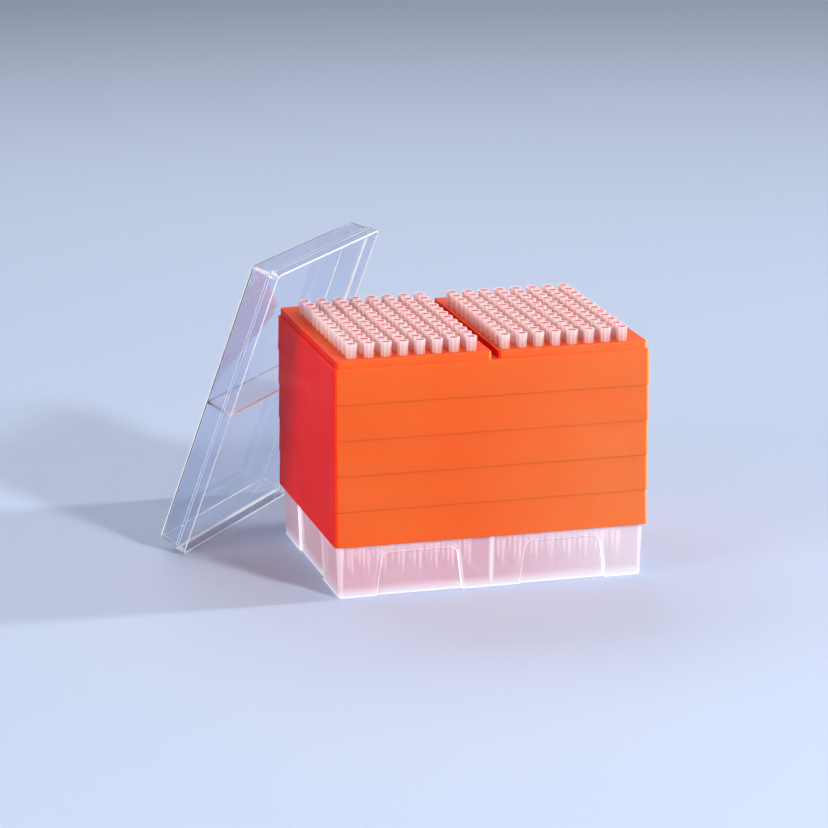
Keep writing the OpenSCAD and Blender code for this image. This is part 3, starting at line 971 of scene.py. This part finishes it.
# %% Lean the lid
lean = (Matrix.Rotation(math.radians(-LID_TURN), 4, "Z")
        @ Matrix.Rotation(math.radians(LID_LEAN - 90), 4, "Y"))
lid.data.transform(lean)
low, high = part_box("lid")
corners = [Vector([pick(v.co[i] for v in lid.data.vertices) for i in range(3)])
           for pick in (min, max)]
lid.data.transform(Matrix.Translation((low + high) / 2 - (corners[0] + corners[1]) / 2))
lid.data.materials.append(clear)
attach(lid, "root")
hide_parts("lid")
growth = (corners[1] - corners[0]) - (high - low)
print("lid box grows by", [round(v / MM, 2) for v in growth], "mm")

# %% [markdown]
# ## Camera
# The camera stands in front, a little to the left and above, with a long lens, so upright edges
# stay nearly upright. It is turned and pitched by angles, which keeps the horizon level. A camera
# that isn't turned looks straight down, so 90 degrees are added to its pitch.

# %% Camera
TURN_RIGHT, TURN_UP = 15.28, -14.99

lens = bpy.data.cameras.new("camera")
lens.lens = 149.95
lens.sensor_width = 36
lens.clip_start, lens.clip_end = 0.05, 60
camera = as_object("camera", lens)
camera.location = (-0.4889, -1.6975, 0.5501)
camera.rotation_euler = (math.radians(90 + TURN_UP), 0, math.radians(-TURN_RIGHT))
bpy.context.scene.camera = camera
print("camera is", round(camera.location.length, 2), "m from the base")

# %% [markdown]
# ## Floor and light
# A plain pale floor keeps the object's shadow. A rather small lamp at the front right gives the
# front its orange. Another, high up at the right, lights the right end and draws the tips'
# shadows across the left margin of the decks. A wide one at the left fills the left end, and one
# behind lights the tips and the lid's rim. Together they are as strong as a colour needs to
# render as it is written. The world gives a weak even light. Where it is seen itself, straight,
# in a reflection or through the clear lid, it is as pale as the floor, so the backdrop stays pale
# and no more light falls on the object.

# %% Floor
FLOOR_HALF = 20

floor_mesh = bpy.data.meshes.new("floor")
floor_mesh.from_pydata([(FLOOR_HALF * sx, FLOOR_HALF * sy, 0)
                        for sx, sy in ((-1, -1), (1, -1), (1, 1), (-1, 1))], [], [(0, 1, 2, 3)])
floor = as_object("floor", floor_mesh)
floor_finish, tree, shader = plastic("pale_floor", {"Roughness": 0.65, "Specular IOR Level": 0.15})
tree.links.new(drift(tree, 0.8, 1, (178, 189, 212), (182, 193, 215)), shader.inputs["Base Color"])
floor.data.materials.append(floor_finish)
print("made", floor_finish.name)

# %% Lamps
def lamp(name, place, size, power):
    """A rectangular lamp at place that faces the middle of the stack."""
    data = bpy.data.lights.new(name, "AREA")
    data.shape = "RECTANGLE"
    data.size, data.size_y = size
    data.energy = power
    holder = as_object(name, data)
    holder.location = place
    aim = Vector((0, 0, cad_box[1][2] / 2)) - Vector(place)
    holder.rotation_euler = aim.to_track_quat("-Z", "Y").to_euler()


lamp("key", (0.7, -1.45, 1.1), (0.22, 0.22), 26)
lamp("right", (2.1, -0.15, 1.25), (0.2, 0.2), 34)
lamp("left", (-1.5, -0.5, 0.4), (0.9, 0.9), 16)
lamp("behind", (-0.2, 1.2, 1.4), (1.6, 0.8), 14)

# %% World
WORLD_LIGHT, WORLD_SEEN = 0.26, 0.6

world = bpy.data.worlds.new("studio")
bpy.context.scene.world = world
world.use_nodes = True
tree = world.node_tree
background = tree.nodes["Background"]
background.inputs["Color"].default_value = (0.9, 0.94, 1, 1)
rays = add(tree, "ShaderNodeLightPath")
seen = combine(tree, "MAXIMUM", rays["Is Camera Ray"], rays["Is Glossy Ray"])
seen = combine(tree, "MAXIMUM", seen, rays["Is Transmission Ray"])
tree.links.new(map_range(tree, seen, WORLD_LIGHT, WORLD_SEEN), background.inputs["Strength"])
bpy.context.scene.view_settings.view_transform = "Standard"
print("world strength", WORLD_LIGHT, "and", WORLD_SEEN, "where it is seen")
